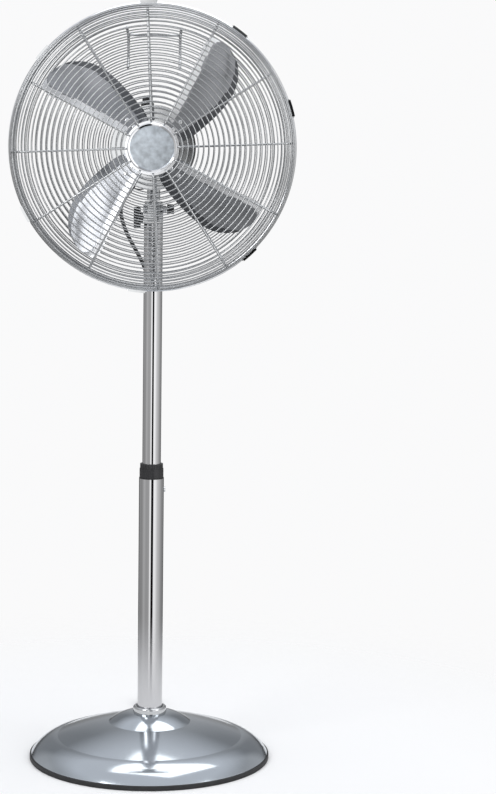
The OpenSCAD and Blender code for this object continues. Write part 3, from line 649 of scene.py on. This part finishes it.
def mixed(tree, blend, factor, a, b):
    """Blend two colours; the factor is a number or a socket."""
    mix = tree.nodes.new("ShaderNodeMix")
    mix.data_type = "RGBA"
    mix.blend_type = blend
    if isinstance(factor, (int, float)):
        mix.inputs["Factor"].default_value = factor
    else:
        tree.links.new(factor, mix.inputs["Factor"])
    for socket, value in (("A", a), ("B", b)):
        if isinstance(value, tuple):
            mix.inputs[socket].default_value = value
        else:
            tree.links.new(value, mix.inputs[socket])
    return mix.outputs["Result"]


def make_world():
    """A pale room: tall soft panels with dark gaps round the walls, and a large one overhead.

    What the camera sees directly is a plain pale colour.
    """
    world = bpy.data.worlds.new("studio")
    scene.world = world
    world.use_nodes = True
    tree = world.node_tree
    tree.nodes.clear()
    output = tree.nodes.new("ShaderNodeOutputWorld")
    coords = tree.nodes.new("ShaderNodeTexCoord")
    split = tree.nodes.new("ShaderNodeSeparateXYZ")
    tree.links.new(coords.outputs["Generated"], split.inputs["Vector"])
    azimuth = tree.nodes.new("ShaderNodeMath")
    azimuth.operation = "ARCTAN2"
    tree.links.new(split.outputs["X"], azimuth.inputs[0])
    tree.links.new(split.outputs["Y"], azimuth.inputs[1])
    turn = tree.nodes.new("ShaderNodeMapRange")
    turn.inputs["From Min"].default_value = -math.pi
    turn.inputs["From Max"].default_value = math.pi
    tree.links.new(azimuth.outputs["Value"], turn.inputs["Value"])
    # Round the walls, 0 and 1 are ahead of the fan, 0.25 is its right hand and 0.5 behind it
    panels = ramp_of(tree, [
        (0.0, 0.01), (0.004, 1.5), (0.040, 1.5), (0.046, 0.62), (0.12, 0.55), (0.19, 0.72),
        (0.24, 0.50), (0.29, 0.42), (0.34, 0.48), (0.39, 0.35), (0.42, 0.03), (0.46, 0.05),
        (0.50, 0.45), (0.54, 0.05), (0.58, 0.03), (0.61, 0.42), (0.67, 0.38), (0.72, 0.55),
        (0.77, 0.75), (0.83, 0.95), (0.89, 1.5), (0.925, 1.6), (0.938, 1.6), (0.945, 0.01),
        (0.996, 0.01)])
    tree.links.new(turn.outputs["Result"], panels.inputs["Fac"])
    # 0 is straight down, 0.5 level and 1 straight up
    lift = tree.nodes.new("ShaderNodeMapRange")
    lift.inputs["From Min"].default_value = -1
    tree.links.new(split.outputs["Z"], lift.inputs["Value"])
    dim = ramp_of(tree, [(0.0, 0.4), (0.35, 0.7), (0.45, 1.0), (0.60, 1.0), (0.72, 0.95),
                         (0.79, 0.6), (1.0, 0.6)])
    overhead = ramp_of(tree, [(0.0, 0.0), (0.505, 0.0), (0.56, 0.32), (0.74, 0.32), (0.88, 1.0),
                              (1.0, 1.0)])
    tree.links.new(lift.outputs["Result"], dim.inputs["Fac"])
    tree.links.new(lift.outputs["Result"], overhead.inputs["Fac"])
    walls = mixed(tree, "MULTIPLY", 1.0, panels.outputs["Color"], dim.outputs["Color"])
    room = tree.nodes.new("ShaderNodeBackground")
    tree.links.new(mixed(tree, "MIX", overhead.outputs["Color"], walls, (0.80, 0.82, 0.86, 1)),
                   room.inputs["Color"])
    plain = tree.nodes.new("ShaderNodeBackground")
    plain.inputs["Color"].default_value = (0.955, 0.955, 0.96, 1)
    rays = tree.nodes.new("ShaderNodeLightPath")
    choose = tree.nodes.new("ShaderNodeMixShader")
    tree.links.new(rays.outputs["Is Camera Ray"], choose.inputs["Fac"])
    tree.links.new(room.outputs["Background"], choose.inputs[1])
    tree.links.new(plain.outputs["Background"], choose.inputs[2])
    tree.links.new(choose.outputs["Shader"], output.inputs["Surface"])


def make_light(name, place, target, size, power):
    data = bpy.data.lights.new(name, "AREA")
    data.shape = "RECTANGLE"
    data.size, data.size_y = size
    data.energy = power
    light = bpy.data.objects.new(name, data)
    light.location = place
    aim = Vector(target) - Vector(place)
    light.rotation_euler = aim.to_track_quat("-Z", "Y").to_euler()
    scene.collection.objects.link(light)


make_floor()
make_world()
make_light("key", (-2.2, -2.4, 2.6), (0, 0, 0.7), (1.6, 1.8), 35)
make_light("fill", (2.6, -1.6, 1.8), (0, 0, 0.6), (1.2, 2.0), 16)
make_light("top", (0.3, 0.6, 3.2), (0, 0, 0.3), (2.4, 2.4), 33)
scene.view_settings.view_transform = "Standard"
